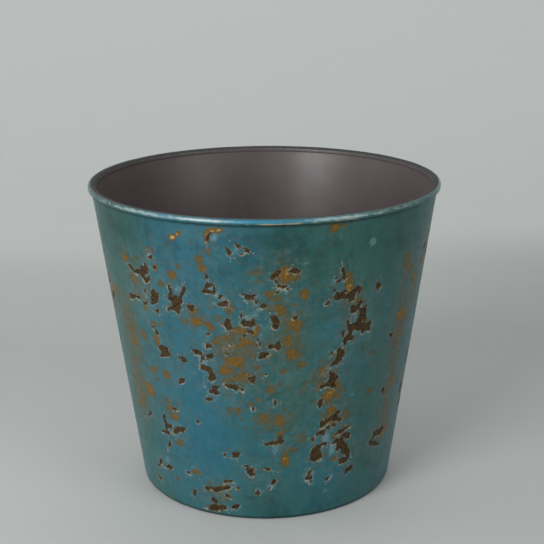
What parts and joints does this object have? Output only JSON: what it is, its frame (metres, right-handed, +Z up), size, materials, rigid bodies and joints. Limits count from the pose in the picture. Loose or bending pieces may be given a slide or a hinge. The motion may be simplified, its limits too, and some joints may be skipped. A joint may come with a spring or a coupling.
{
  "type": "florist bucket",
  "caption": "Tapered round florist bucket with a rounded rim bead, a floor raised on a foot ring and a chipped verdigris paint coat.",
  "frame": {"origin": "centre of the foot ring, on the surface the bucket stands on", "axes": "+Z up along the bucket's axis, towards its mouth; the bucket is round, so +X and +Y are any two level directions"},
  "size_m": [0.165, 0.165, 0.1464],
  "materials": {
    "moulded_plastic": "satin mauve-brown moulding, with faint flow lines",
    "patina_paint": "satin teal verdigris paint, brushed, chipped to brown with ochre and cream edges"
  },
  "bodies": {
    "root": {"bucket_shell": "moulded_plastic", "paint_coat": "patina_paint"}
  },
  "joints": []
}
